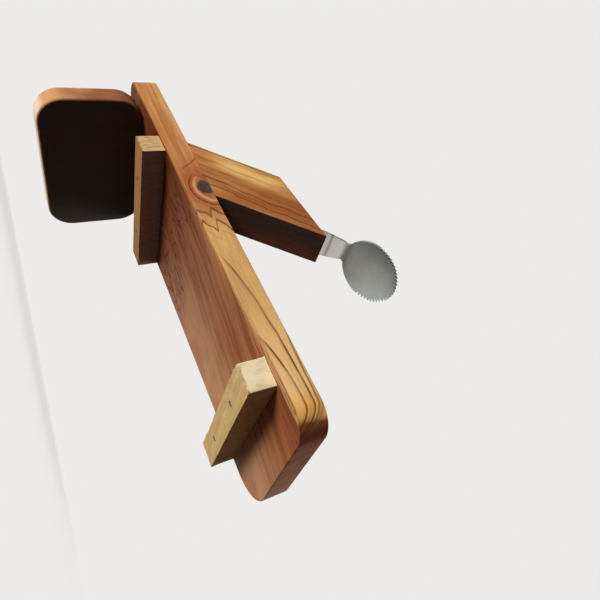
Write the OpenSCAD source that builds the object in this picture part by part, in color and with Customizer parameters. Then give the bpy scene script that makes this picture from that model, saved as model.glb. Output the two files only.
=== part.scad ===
// Counter-top coconut scraper.
// A plank hooks over a counter's front edge with its stop plate, stands on two battens,
// and carries a leaning arm with a toothed, dished blade.
//
// Frame: X runs forward, from the user to the blade, Y to the left, Z up.
// The origin is where the counter's front edge goes: on the stop plate's front face,
// half way across the plank, level with the undersides of the battens.

/* [Board] */
// Length of the plank
board_l = 400; // [360:5:480]
// Width of the plank
board_w = 147; // [120:1:180]
// Thickness of the plank
board_t = 21; // [18:0.5:28]
// Radius of the plank's corners, seen from above
board_corner_r = 19; // [8:1:30]
// How much larger its front left corner's radius is than the others
front_left_extra_r = 15; // [2:1:24]
// Length of plank behind the stop plate's front face
board_overhang = 47; // [36:1:60]
// Chamfer on the long edges of plank, stop plate and arm
edge_ease = 1.2; // [0.5:0.1:2]

/* [Stop plate] */
// Height of the stop plate, below the plank
plate_h = 93; // [70:1:110]
// How far the stop plate's sides lie inside the plank's sides
plate_inset = 0; // [0:0.5:10]
// Thickness of the stop plate
plate_t = 22; // [18:0.5:28]
// Radius of the stop plate's corners
plate_corner_r = 24; // [8:1:30]

/* [Feet] */
// Height of the battens
foot_h = 20; // [14:0.5:28]
// Width of the battens
foot_w = 22; // [18:0.5:28]
// How far the battens' right ends lie inside the plank's right side
foot_right_inset = 4; // [0:0.5:8]
// How far the battens' left ends lie inside the plank's left side
foot_left_inset = 0; // [0:0.5:8]
// Rear batten's middle, ahead of the stop plate's front face
rear_foot_x = 62; // [45:1:80]
// Front batten's middle, behind the plank's front end
front_foot_setback = 53; // [40:1:80]
// Turn of the front batten from square
front_foot_turn = 4; // [0:0.5:6]

/* [Arm] */
// Width of the arm, across the plank
arm_w = 33; // [30:0.5:42]
// Depth of the arm, square to its slope
arm_depth = 57; // [48:1:70]
// Length of the arm's front face, along its slope
arm_l = 98.5; // [85:0.5:115]
// Angle between the arm's slope and the plank
arm_lean = 51; // [45:0.5:60]
// Rise of the arm's top towards its tip
arm_top_rise = 5.5; // [0:0.5:8]
// Radius of the arm's rear top corner
arm_corner_r = 5; // [2:0.5:10]
// Arm's front face, at the plank, behind the plank's front end
arm_setback = 213; // [190:1:240]

/* [Blade] */
// Thickness of the blade's sheet
blade_t = 2; // [1.5:0.1:2.5]
// Width of the tang
tang_w = 27; // [22:0.5:28]
// Depth of the tang in the arm
tang_l = 38; // [25:1:42]
// Angle between the tang and the plank
tang_lean = 58; // [54:0.5:62]
// Middle of the tang behind the arm's tip, along the arm's top
tang_back = 11.5; // [9:0.5:16]
// Length of tang that stands out of the arm before the crease
crease_out = 5; // [3:0.5:8]
// Angle between the shank and the plank
shank_lean = 53; // [48:0.5:57]
// Length of the shank, from the crease to the neck
shank_l = 22.5; // [15:0.5:30]
// Width of the shank at the neck
neck_w = 20.4; // [16:0.2:22]
// Length of the neck, from the shank to the dish's rim
neck_l = 1.0; // [0.8:0.1:4]
// Radius of the relief notches beside the neck
relief_r = 1.2; // [0.8:0.1:2]
// Diameter of the dish, over its teeth
dish_d = 56.4; // [46:0.2:64]
// Radius of the dish's hollow
dish_hollow_r = 68; // [56:1:90]
// Angle between the dish's rim and the plank
dish_lean = 19; // [14:0.5:26]
// Number of teeth round the front of the rim
teeth = 28; // [20:1:34]
// Angle that the teeth take up round the rim
teeth_arc = 186; // [160:2:200]
// Depth of the gaps between the teeth
tooth_depth = 2.6; // [1.5:0.1:3.2]
// Flat tip left on each tooth
tooth_land = 0.6; // [0.4:0.1:1]

/* [Fastenings] */
// Diameter of the wire nails
nail_d = 2.4; // [2:0.1:3]
// Diameter of the nails' heads
nail_head_d = 5; // [4:0.2:6]
// Thickness of the nails' heads
nail_head_t = 1.2; // [0.8:0.1:1.6]
// Depth of the nails' heads below the battens' undersides
nail_sink = 0.4; // [0.2:0.1:1]
// Length of the nails
nail_l = 32; // [28:1:34]
// Nails in each batten
nails_per_foot = 2; // [2:1:4]
// Distance between the nails
nail_pitch = 66; // [30:1:70]
// Diameter of the stop plate's screws
screw_d = 4; // [3:0.5:5]
// Diameter of the screws' heads
screw_head_d = 8; // [7:0.5:10]
// Length of the screws
screw_l = 55; // [45:1:65]
// Number of screws
screws = 3; // [2:1:4]
// Distance between the screws
screw_pitch = 42; // [30:1:45]
// Diameter of the arm's dowels
dowel_d = 10; // [8:0.5:12]
// Depth of the dowels in the plank
dowel_in_board = 13; // [8:0.5:14]
// Depth of the dowels in the arm
dowel_in_arm = 16; // [10:0.5:20]
// Distance between the dowels
dowel_pitch = 30; // [24:1:34]

/* [Clearances] */
// Radial clearance round nails, screws and dowels
bore_gap = 0.1; // [0.05:0.05:0.2]
// Clearance beyond the ends of dowels, nails and screws
end_gap = 0.5; // [0.2:0.1:1]
// Clearance round the tang in its slot
slot_gap = 0.15; // [0.1:0.05:0.3]

/* [Hidden] */
// Places worked out from the sizes above
board_x0 = -board_overhang;
board_x1 = board_l - board_overhang;
board_z0 = foot_h;
board_z1 = foot_h + board_t;
right_y = -board_w / 2;
front_left_r = board_corner_r + front_left_extra_r;

// Stop plate
plate_w = board_w - 2 * plate_inset;

// Battens
foot_l = board_w - foot_right_inset - foot_left_inset;
foot_mid_y = right_y + foot_right_inset + foot_l / 2;
front_foot_x = board_x1 - front_foot_setback;

// Screws into the stop plate, in the middle of its thickness
screw_x = -plate_t / 2;
screw_head_h = (screw_head_d - screw_d) / 2;

// Arm: a leaning block, drawn from its front foot
arm_x = board_x1 - arm_setback;
arm_y = right_y + arm_w / 2;
arm_foot_l = arm_depth / sin(arm_lean);
tip_x = arm_x + arm_l * cos(arm_lean);
tip_z = board_z1 + arm_l * sin(arm_lean);
// Along the arm's top, from its tip to its rear corner
arm_top_l = arm_foot_l * sin(arm_lean) / sin(arm_lean - arm_top_rise);
// Dowels stand in the part of the arm that lies over its own foot
dowel_mid_x = arm_x - arm_foot_l / 2 + dowel_in_arm / tan(arm_lean) / 2;

// Blade: exit from the arm, crease, end of the shank, middle of the dish
exit_x = tip_x - tang_back * cos(arm_top_rise);
exit_z = tip_z - tang_back * sin(arm_top_rise);
crease_x = exit_x + crease_out * cos(tang_lean);
crease_z = exit_z + crease_out * sin(tang_lean);
shank_end_x = crease_x + shank_l * cos(shank_lean);
shank_end_z = crease_z + shank_l * sin(shank_lean);
dish_r = dish_d / 2;
neck_reach = dish_r + neck_l;
rim_h = sqrt(dish_hollow_r * dish_hollow_r - dish_r * dish_r);
neck_h = sqrt(dish_hollow_r * dish_hollow_r - neck_reach * neck_reach);

// Lap of the shank into the dish's neck, which makes them one piece
neck_lap = blade_t / 4;
// Overshoot of a cut beyond the face that it opens
cut = 1;
$fn = 64;

// ---- shared shapes -------------------------------------------------------------------

// Rectangle with its four corners cut off at 45 degrees, from the origin
module eased_rect(a, b, ease) {
    polygon([
        [ease, 0], [a - ease, 0], [a, ease], [a, b - ease],
        [a - ease, b], [ease, b], [0, b - ease], [0, ease]
    ]);
}

// Round puck with chamfered edges
module eased_puck(r, t, ease) {
    rotate_extrude()
        polygon([[0, 0], [r - ease, 0], [r, ease], [r, t - ease], [r - ease, t], [0, t]]);
}

// Slab with round corners of radius r and a chamfer along every edge, from the origin
module eased_slab(l, w, t, r, ease) {
    translate([r, 0, 0])
        rotate([90, 0, 90])
            linear_extrude(l - 2 * r) eased_rect(w, t, ease);
    translate([0, w - r, 0])
        rotate([90, 0, 0])
            linear_extrude(w - 2 * r) eased_rect(l, t, ease);
    for (x = [r, l - r], y = [r, w - r])
        translate([x, y, 0]) eased_puck(r, t, ease);
}

// The same slab with one rounder corner, of radius r2, furthest from the origin
module eased_slab_one_rounder(l, w, t, r, r2, ease) {
    translate([r, 0, 0])
        rotate([90, 0, 90])
            linear_extrude(l - r - r2) eased_rect(w, t, ease);
    translate([l - r2, 0, 0])
        rotate([90, 0, 90])
            linear_extrude(r2 - r) eased_rect(w - r2, t, ease);
    translate([0, w - r2, 0])
        rotate([90, 0, 0])
            linear_extrude(w - r2 - r) eased_rect(l, t, ease);
    translate([0, w - r, 0])
        rotate([90, 0, 0])
            linear_extrude(r2 - r) eased_rect(l - r2, t, ease);
    for (x = [r, l - r]) translate([x, r, 0]) eased_puck(r, t, ease);
    translate([r, w - r, 0]) eased_puck(r, t, ease);
    translate([l - r2, w - r2, 0]) eased_puck(r2, t, ease);
}

// Puts its children at evenly spaced places along Y, centred on the origin
module along_y(n, pitch) {
    for (i = [0 : n - 1])
        translate([0, (i - (n - 1) / 2) * pitch, 0]) children();
}

// ---- fastenings, each drawn with its head or top at the origin --------------------------

// Wire nail, its head down at z = 0 and its shank up; gap widens it into a bore
module nail(gap = 0, end = 0) {
    translate([0, 0, -end * nail_sink * 2])
        cylinder(d = nail_head_d + 2 * gap, h = nail_head_t + gap + end * nail_sink * 2);
    cylinder(d = nail_d + 2 * gap, h = nail_l + end * end_gap);
}

// Countersunk screw, its head up at z = 0 and its shank down; gap widens it into a bore
module screw(gap = 0, end = 0) {
    translate([0, 0, -screw_head_h])
        cylinder(d1 = screw_d + 2 * gap, d2 = screw_head_d + 2 * gap, h = screw_head_h);
    translate([0, 0, -screw_l - end * end_gap])
        cylinder(d = screw_d + 2 * gap, h = screw_l + end * end_gap);
}

// All nails of one batten, in the batten's own place
module nails_of(x, turn, gap = 0, end = 0) {
    translate([x, foot_mid_y, nail_sink])
        rotate([0, 0, turn])
            along_y(nails_per_foot, nail_pitch) nail(gap, end);
}

module plate_screws(gap = 0, end = 0) {
    translate([screw_x, 0, board_z1])
        along_y(screws, screw_pitch) screw(gap, end);
}

// Both dowels, standing through the joint between plank and arm
module dowels(gap = 0, end = 0) {
    for (side = [-1, 1])
        translate([dowel_mid_x + side * dowel_pitch / 2, arm_y, board_z1 - dowel_in_board - end * end_gap])
            cylinder(d = dowel_d + 2 * gap, h = dowel_in_board + dowel_in_arm + 2 * end * end_gap);
}

// ---- wooden pieces -------------------------------------------------------------------

module base_board() {
    color("peru")
        difference() {
            translate([board_x0, right_y, board_z0])
                eased_slab_one_rounder(board_l, board_w, board_t, board_corner_r,
                                       front_left_r, edge_ease);
            plate_screws(bore_gap);
            dowels(bore_gap, 1);
            nails_of(rear_foot_x, 0, bore_gap, 1);
            nails_of(front_foot_x, front_foot_turn, bore_gap, 1);
        }
}

module stop_plate() {
    color("sienna")
        difference() {
            translate([-plate_t, -plate_w / 2, board_z0])
                rotate([0, 90, 0])
                    eased_slab(plate_h, plate_w, plate_t, plate_corner_r, edge_ease);
            plate_screws(bore_gap, 1);
        }
}

// Batten across the underside, square-edged as it was sawn
module foot(x, turn) {
    color("burlywood")
        difference() {
            translate([x, foot_mid_y, 0])
                rotate([0, 0, turn])
                    translate([-foot_w / 2, -foot_l / 2, 0])
                        cube([foot_w, foot_l, foot_h]);
            nails_of(x, turn, bore_gap, 1);
        }
}

module rear_foot() {
    foot(rear_foot_x, 0);
}

module front_foot() {
    foot(front_foot_x, front_foot_turn);
}

// Side view of the arm, from its front foot: a leaning block with a round rear top corner
module arm_profile() {
    rear = [
        arm_l * cos(arm_lean) - arm_top_l * cos(arm_top_rise),
        arm_l * sin(arm_lean) - arm_top_l * sin(arm_top_rise)
    ];
    // The corner opens by this angle, so its round stretch starts this far along each side
    corner = 180 - arm_lean + arm_top_rise;
    start = arm_corner_r / tan(corner / 2);
    top = rear + start * [cos(arm_top_rise), sin(arm_top_rise)];
    middle = top + arm_corner_r * [sin(arm_top_rise), -cos(arm_top_rise)];
    polygon(concat(
        [[-arm_foot_l, 0], [0, 0], [arm_l * cos(arm_lean), arm_l * sin(arm_lean)]],
        [for (i = [0 : 8])
            let (a = 90 + arm_top_rise + i / 8 * (180 - corner))
                middle + arm_corner_r * [cos(a), sin(a)]]
    ));
}

// The chamfered bar that the arm is cut from, along its slope
module arm_stock() {
    reach = arm_l + arm_foot_l;
    rotate([0, 90 - arm_lean, 0])
        translate([-arm_depth, -arm_w / 2, -reach])
            linear_extrude(2 * reach) eased_rect(arm_depth, arm_w, edge_ease);
}

// Slot in the arm's top, which the tang fills
module tang_slot() {
    translate([exit_x, arm_y, exit_z])
        rotate([0, -tang_lean, 0])
            translate([-tang_l - end_gap, -tang_w / 2 - slot_gap, -blade_t / 2 - slot_gap])
                cube([tang_l + end_gap + 2 * blade_t, tang_w + 2 * slot_gap, blade_t + 2 * slot_gap]);
}

module arm() {
    color("peru")
        difference() {
            translate([arm_x, arm_y, board_z1])
                intersection() {
                    rotate([90, 0, 0])
                        linear_extrude(arm_w, center = true) arm_profile();
                    arm_stock();
                }
            tang_slot();
            dowels(bore_gap, 1);
        }
}

// ---- metal and dowels ------------------------------------------------------------------

module stop_plate_screws() {
    color("silver") plate_screws();
}

module rear_foot_nails() {
    color("dimgray") nails_of(rear_foot_x, 0);
}

module front_foot_nails() {
    color("dimgray") nails_of(front_foot_x, front_foot_turn);
}

module arm_dowels() {
    color("tan") dowels();
}

// Side view of tang and shank: sheet of one thickness, bent once at the crease (the origin)
module shank_profile() {
    mean_lean = (tang_lean + shank_lean) / 2;
    mitre = blade_t / 2 / cos((tang_lean - shank_lean) / 2) * [-sin(mean_lean), cos(mean_lean)];
    tang_end = -(tang_l + crease_out) * [cos(tang_lean), sin(tang_lean)];
    tang_side = blade_t / 2 * [-sin(tang_lean), cos(tang_lean)];
    neck_end = (shank_l + neck_lap) * [cos(shank_lean), sin(shank_lean)];
    neck_side = blade_t / 2 * [-sin(shank_lean), cos(shank_lean)];
    polygon([
        tang_end + tang_side, tang_end - tang_side, -mitre,
        neck_end - neck_side, neck_end + neck_side, mitre
    ]);
}

// Tang and shank: the side view, cut to the outline that tapers from tang to neck
module shank() {
    reach = tang_l + crease_out + cut;
    translate([crease_x, 0, crease_z])
        intersection() {
            rotate([90, 0, 0])
                linear_extrude(tang_w, center = true) shank_profile();
            rotate([0, -shank_lean, 0])
                translate([0, 0, -reach / 2])
                    linear_extrude(reach)
                        polygon([
                            [-reach, -tang_w / 2], [0, -tang_w / 2],
                            [shank_l, -neck_w / 2], [shank_l + cut, -neck_w / 2],
                            [shank_l + cut, neck_w / 2], [shank_l, neck_w / 2],
                            [0, tang_w / 2], [-reach, tang_w / 2]
                        ]);
        }
}

// Gap between two teeth, cut from outside the rim
module tooth_gap() {
    half = (dish_r * teeth_arc / (teeth - 1) * PI / 180 - tooth_land) / 2;
    slope = half / tooth_depth;
    translate([dish_r, 0, -dish_hollow_r / 2])
        linear_extrude(dish_hollow_r)
            polygon([[-tooth_depth, 0], [cut, -half - cut * slope], [cut, half + cut * slope]]);
}

// Dished sheet in its own frame: rim in the plane z = 0, hollow side down, neck towards -X
module dish() {
    difference() {
        intersection() {
            // The balls lie on their sides, so that no pole or seam meets the dish
            translate([0, 0, -rim_h])
                rotate([90, 0, 0])
                    difference() {
                        sphere(r = dish_hollow_r + blade_t / 2, $fn = 128);
                        sphere(r = dish_hollow_r - blade_t / 2, $fn = 128);
                    }
            translate([0, 0, -dish_r / 2])
                linear_extrude(dish_r) {
                    circle(r = dish_r, $fn = 96);
                    translate([-neck_reach, -neck_w / 2]) square([dish_r, neck_w]);
                }
        }
        for (i = [0 : teeth - 2])
            rotate([0, 0, ((i + 0.5) / (teeth - 1) - 0.5) * teeth_arc]) tooth_gap();
    }
}

module blade() {
    // The dish hangs on the shank by the middle of its sheet
    dish_x = shank_end_x + neck_reach * cos(dish_lean) - (rim_h - neck_h) * sin(dish_lean);
    dish_z = shank_end_z + neck_reach * sin(dish_lean) + (rim_h - neck_h) * cos(dish_lean);
    color("silver")
        translate([0, arm_y, 0])
            difference() {
                union() {
                    shank();
                    translate([dish_x, 0, dish_z]) rotate([0, -dish_lean, 0]) dish();
                }
                for (side = [-1, 1])
                    translate([shank_end_x, side * neck_w / 2, shank_end_z])
                        rotate([0, -shank_lean, 0])
                            cylinder(r = relief_r, h = 4 * blade_t, center = true);
            }
}

base_board();
stop_plate();
stop_plate_screws();
rear_foot();
front_foot();
rear_foot_nails();
front_foot_nails();
arm();
arm_dowels();
blade();
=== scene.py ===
# %% [markdown]
# # A counter-top coconut scraper
# A plank stands on two battens on the kitchen counter and hooks over its front edge with
# a stop plate. A leaning wooden arm carries a dished steel blade with teeth round its
# front: half a coconut is turned on it by hand. This notebook dresses the exact CAD model
# with softened edges, real wood and filed steel. All its sizes are in millimetres, and
# everything stays in the CAD model's own frame: X forward, Y to the left, Z up, with
# the battens standing on z = 0.

# %% Load the frame
import math

import bmesh
import bpy
from mathutils import Euler, Matrix, Vector, noise


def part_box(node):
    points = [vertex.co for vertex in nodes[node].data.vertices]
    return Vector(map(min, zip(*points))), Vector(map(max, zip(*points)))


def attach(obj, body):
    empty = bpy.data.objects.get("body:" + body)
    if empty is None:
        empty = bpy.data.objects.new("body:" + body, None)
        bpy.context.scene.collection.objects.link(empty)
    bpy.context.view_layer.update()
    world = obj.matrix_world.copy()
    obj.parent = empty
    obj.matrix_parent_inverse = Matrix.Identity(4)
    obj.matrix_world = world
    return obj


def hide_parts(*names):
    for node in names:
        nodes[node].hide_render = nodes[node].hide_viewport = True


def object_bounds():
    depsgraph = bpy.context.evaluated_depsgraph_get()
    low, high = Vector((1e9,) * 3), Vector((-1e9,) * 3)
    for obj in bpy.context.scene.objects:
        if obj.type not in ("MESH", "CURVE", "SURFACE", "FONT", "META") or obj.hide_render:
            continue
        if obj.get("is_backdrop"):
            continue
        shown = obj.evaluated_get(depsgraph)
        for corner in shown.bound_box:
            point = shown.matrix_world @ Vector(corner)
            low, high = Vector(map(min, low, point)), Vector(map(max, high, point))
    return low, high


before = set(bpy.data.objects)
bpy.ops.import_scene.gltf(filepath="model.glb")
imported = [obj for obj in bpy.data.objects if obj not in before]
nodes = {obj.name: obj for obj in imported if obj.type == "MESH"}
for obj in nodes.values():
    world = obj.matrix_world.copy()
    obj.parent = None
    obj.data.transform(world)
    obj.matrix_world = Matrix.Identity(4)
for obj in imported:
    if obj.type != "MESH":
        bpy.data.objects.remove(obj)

MM = 0.001
cad_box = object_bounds()
print("nodes:", ", ".join(sorted(nodes)))


def millimetres(node):
    """Lowest and highest corner of a CAD node, in millimetres."""
    low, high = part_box(node)
    return low / MM, high / MM


def add(name, data):
    """A new object in the scene."""
    made = bpy.data.objects.new(name, data)
    bpy.context.scene.collection.objects.link(made)
    return made


# %% [markdown]
# ## Camera
# The camera lies low beside the front end and looks up at the underside, rolled so that
# the plank hangs down the picture. Its three axes are written as the columns of a
# matrix, which is exact and needs no angles. The wide lens makes the front end large.

# %% Camera
EYE = Vector((428.4, -322.3, -99.1))
RIGHT = Vector((0.4279, -0.2703, 0.8625))
DOWN = Vector((0.7562, 0.6297, -0.1778))
AHEAD = Vector((-0.4950, 0.7283, 0.4738))
SENSOR, LENS = 36, 28.57

camera = add("camera", bpy.data.cameras.new("camera"))
camera.data.sensor_width, camera.data.lens = SENSOR, LENS
camera.data.clip_start, camera.data.clip_end = 0.01, 50
turn = Matrix((RIGHT, -DOWN, -AHEAD)).transposed()
camera.matrix_world = Matrix.Translation(EYE * MM) @ turn.to_4x4()
bpy.context.scene.camera = camera
bpy.context.scene.view_settings.view_transform = "Standard"
print("camera", round(math.degrees(2 * math.atan(SENSOR / 2 / LENS)), 1), "degrees wide")

# %% [markdown]
# ## Shader maths as Python
# A wood grain is a formula: how far a point lies from the heart of the tree, how far it
# has got through a year's ring. Wired by hand that is dozens of Math nodes. This small
# class wraps one socket, so that a formula can be written as Python and each operator
# adds its node. The same class builds the Geometry Nodes trees further down.

# %% Sockets that can be calculated with


def plug(value, socket):
    """Links a wire to a socket, or sets the socket to a plain value."""
    if isinstance(value, Wire):
        value.tree.links.new(value.socket, socket)
    else:
        socket.default_value = value


class Wire:
    """One socket of a node tree. Arithmetic on it adds Math nodes."""

    def __init__(self, tree, socket):
        self.tree, self.socket = tree, socket

    def node(self, kind, inputs, output=None, **settings):
        """Adds any node: its settings first, then the values or links of its sockets."""
        made = self.tree.nodes.new(kind)
        for key, value in settings.items():
            setattr(made, key, value)
        for key, value in inputs.items():
            if isinstance(key, int):
                plug(value, made.inputs[key])
            else:
                plug(value, next(s for s in made.inputs if s.enabled and s.name == key))
        shown = [s for s in made.outputs if s.enabled]
        return Wire(self.tree, next((s for s in shown if s.name == output), shown[0]))

    def math(self, operation, *others):
        """A Math node with this value as the first one."""
        return self.node("ShaderNodeMath", dict(enumerate((self, *others))), operation=operation)

    def __add__(self, other):
        return self.math("ADD", other)

    def __sub__(self, other):
        return self.math("SUBTRACT", other)

    def __rsub__(self, other):
        return self.node("ShaderNodeMath", {0: other, 1: self}, operation="SUBTRACT")

    def __mul__(self, other):
        return self.math("MULTIPLY", other)

    def __truediv__(self, other):
        return self.math("DIVIDE", other)

    def __rtruediv__(self, other):
        return self.node("ShaderNodeMath", {0: other, 1: self}, operation="DIVIDE")

    def __pow__(self, other):
        return self.math("POWER", other)

    def __neg__(self):
        return self * -1

    __radd__, __rmul__ = __add__, __mul__

    def ease(self, start, end):
        """0 up to start, 1 from end on and a smooth step between. With end below start it
        runs the other way: 1 up to end, 0 from start on."""
        inputs = {"Value": self, "From Min": start, "From Max": end}
        return self.node("ShaderNodeMapRange", inputs, interpolation_type="SMOOTHSTEP")

    def near(self, place, width):
        """1 at a value, fading to 0 a width away on both sides."""
        return (self - place).math("ABSOLUTE").ease(width, 0)

    def ridge(self, top, rise, drop):
        """1 at a value, which it climbs to over `rise` and leaves over `drop`."""
        return self.ease(top - rise, top) * self.ease(top + drop, top)

    def stretch(self, x, y, z):
        """A vector times three numbers."""
        return self.node("ShaderNodeVectorMath", {0: self, 1: (x, y, z)}, operation="MULTIPLY")

    def cloud(self, scale, detail=2, roughness=0.5):
        """Smooth noise from 0 to 1 at this vector; the scale is one number or one per axis."""
        spot = self
        if isinstance(scale, tuple):
            spot, scale = self.stretch(*scale), 1
        inputs = {"Vector": spot, "Scale": scale, "Detail": detail, "Roughness": roughness}
        return self.node("ShaderNodeTexNoise", inputs, "Fac")


def tint(red, green, blue):
    """A colour as it is read off a screen, 0 to 255, as the linear light that Blender uses."""
    shares = [v / 255 for v in (red, green, blue)]
    linear = [v / 12.92 if v <= 0.04045 else ((v + 0.055) / 1.055) ** 2.4 for v in shares]
    return (*linear, 1)


def mix(share, first, second, blend="MIX"):
    """first at share 0, second at share 1. Colours keep their hue here, as in no Math node."""
    start = next(w for w in (share, first, second) if isinstance(w, Wire))
    return start.node("ShaderNodeMix", {"Factor": share, "A": first, "B": second},
                      data_type="RGBA", blend_type=blend)


def lay(colour, *coats):
    """Lays coats over a colour, each one a share and then a colour or the numbers of a tint."""
    for share, *over in coats:
        colour = mix(share, colour, over[0] if len(over) == 1 else tint(*over))
    return colour


def finish_named(name):
    """A new material: its surface shader, its own coordinates in millimetres, its normal."""
    material = bpy.data.materials.new(name)
    material.use_nodes = True
    tree = material.node_tree
    surface = tree.nodes["Principled BSDF"]
    place = Wire(tree, tree.nodes.new("ShaderNodeTexCoord").outputs["Object"])
    normal = Wire(tree, tree.nodes.new("ShaderNodeNewGeometry").outputs["Normal"])
    return material, surface, place.stretch(1 / MM, 1 / MM, 1 / MM), normal


def parts(vector):
    """The three numbers of a vector."""
    return [vector.node("ShaderNodeSeparateXYZ", {0: vector}, axis) for axis in "XYZ"]


def vector(x, y, z):
    """Three numbers or wires as one vector."""
    start = next(w for w in (x, y, z) if isinstance(w, Wire))
    return start.node("ShaderNodeCombineXYZ", dict(enumerate((x, y, z))))


def feed(surface, **values):
    """Links or sets sockets of a surface shader; underscores stand for blanks."""
    for key, value in values.items():
        plug(value, surface.inputs[key.replace("_", " ")])


def bumps(height, strength, distance):
    """A Bump node's normal: distance in millimetres for a height of 1."""
    inputs = {"Height": height, "Strength": strength, "Distance": distance * MM}
    return height.node("ShaderNodeBump", inputs)


print("shader helpers ready")

# %% [markdown]
# ## Wood, grown and not painted
# A plank is a slice of a tree, so its grain is worked out in space: every point knows
# its distance from the pith, and with it its year. Faces, ends and edges then agree
# with each other, as on a real board. The year's ring starts pale and ends in a thin
# dark line of latewood. Slow noise bends the rings, fast noise drawn out along the grain
# makes fibres and pores. Sanded corners are paler and smoother, which the surface's
# normal gives away.

# %% One recipe for every piece of wood


def log_frame(place, pith, turn):
    """The piece's coordinates seen from the tree: X along the pith, the origin on it."""
    spin = Euler([math.radians(a) for a in turn])
    shift = -(spin.to_matrix() @ Vector(pith))
    return place.node("ShaderNodeMapping", {"Vector": place, "Location": shift, "Rotation": spin})


def growth(grain, ring, wander, swell):
    """How far each point lies from the pith, in years, with the tree's slow bends."""
    bend = grain.cloud((0.006, 0.016, 0.016), 2, 0.45) - 0.5
    ripple = grain.cloud((0.028, 0.11, 0.11)) - 0.5
    _, across, up = parts(grain)
    reach = (across * across + up * up) ** 0.5
    reach = reach + bend * wander + ripple * (wander * 0.14)
    if swell is not None:
        reach = reach + swell
    return reach / ring


def wooden(name, pale, deep, line, pith, turn, ring, wander, contrast, rough, arris_axis=2,
           swell=None, extra=None):
    """A wood finish. extra(place, normal, colour) adds the marks that only one piece has."""
    material, surface, place, normal = finish_named(name)
    grain = log_frame(place, pith, turn)
    years = growth(grain, ring, wander, swell(place) if swell else None)
    part, year = years.math("FRACT"), years.math("FLOOR")
    luck = year.node("ShaderNodeTexWhiteNoise", {"W": year}, "Value", noise_dimensions="1D")
    late = part.ease(0.3, 0.92) * part.ease(1, 0.94)
    bands = years.node("ShaderNodeTexNoise", {"W": years * 0.45, "Detail": 2}, "Fac",
                       noise_dimensions="1D")
    patches = grain.cloud((0.006, 0.03, 0.03))
    ribbons = grain.cloud((0.007, 0.17, 0.17), 2, 0.55)
    streaks = grain.cloud((0.014, 0.6, 0.6), 3, 0.6)
    fibres = grain.cloud((0.05, 2.6, 2.6), 3, 0.6)
    pores = grain.cloud((0.09, 3.4, 3.4), 1).ease(0.63, 0.72)

    warmth = bands * 0.9 + patches * 0.8 + ribbons * 1.4 + streaks * 0.6 - 1.35
    colour = lay(mix(warmth.ease(0, 1), pale, deep),
                 (late * (0.15 + 0.85 * luck * luck) * contrast, line),
                 (streaks.ease(0.58, 0.8) * 0.3, line))
    if extra:
        colour = extra(place, normal, colour)
    shade = (0.88 + fibres * 0.24) * (1 - pores * 0.25)
    worn = parts(normal)[arris_axis]
    worn = 4 * worn * worn * (1 - worn * worn)
    worn = worn.ease(0.25, 0.95) * place.cloud(0.09, 3).ease(0.35, 0.7)
    grey = shade.node("ShaderNodeCombineColor", {"Red": shade, "Green": shade, "Blue": shade})
    colour = mix(1, colour, grey, "MULTIPLY")
    colour = mix(worn * 0.16, colour, (1, 0.93, 0.82, 1))

    height = fibres * 0.35 + late * 0.4 - pores * 0.9 + place.cloud(0.03) * 0.6
    feed(surface, Base_Color=colour, Metallic=0, Specular_IOR_Level=0.02,
         Roughness=rough + 0.16 * (streaks - 0.5) + 0.1 * pores - 0.06 * worn - 0.05 * late,
         Normal=bumps(height, 0.35, 0.25))
    print(name, "has", len(material.node_tree.nodes), "nodes")
    return material


# %% [markdown]
# ## The plank's own marks
# The right edge of the plank shows the outside of the tree: a grey knot with rings that
# flow round it like water round a stone, a zigzag where they close up in front of it,
# and a few strong ring lines that climb from the underside and run on round the front
# corner. Each line is one sheet of latewood through the solid plank, so it is written
# as a height over the edge that depends on how far forward the point lies.

# %% Knot, ring lines and zigzag of the plank
board_low, board_high = millimetres("base_board")
KNOT = Vector((130.0, board_low.y, 36.0))
KNOT_SIZE = Vector((9.2, 30.0, 6.2))
SHEET_LEAN = 1.7


def knot_distance(place, wobble=0):
    """1 on the knot's rim, 0 in its middle; the branch thins out inwards."""
    x, y, z = parts(place)
    inward = (y - KNOT.y) / KNOT_SIZE.y
    thin = (1 - inward * 0.75).math("MAXIMUM", 0.05)
    along, up = (x - KNOT.x) / KNOT_SIZE.x, (z - KNOT.z) / KNOT_SIZE.z
    away = ((along * along + up * up) ** 0.5) / thin
    return away + (place.cloud(0.16) - 0.5) * wobble if wobble else away


def knot_swell(place):
    """Rings bulge outwards round the branch, and less and less away from it."""
    away = knot_distance(place)
    return 9 * (-0.16 * away * away).math("EXPONENT")


def ring_line(place, level, rise, start, length, soft, crisp=0.5):
    """One sheet of latewood: at `level` far forward, `rise` higher at x = start. It
    darkens over `soft` millimetres, is darkest in a thin core and ends over `crisp`."""
    x, y, z = parts(place)
    fade = (start - x) / length
    bend = (place.cloud((0.035, 0.03, 0.03)) - 0.5) * 2.6
    sheet = z + SHEET_LEAN * (y - board_low.y) - rise * fade.math("EXPONENT") + bend
    return sheet.ridge(level, soft, crisp) * 0.5 + sheet.near(level - 0.2, 1.3) * 0.6


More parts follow.
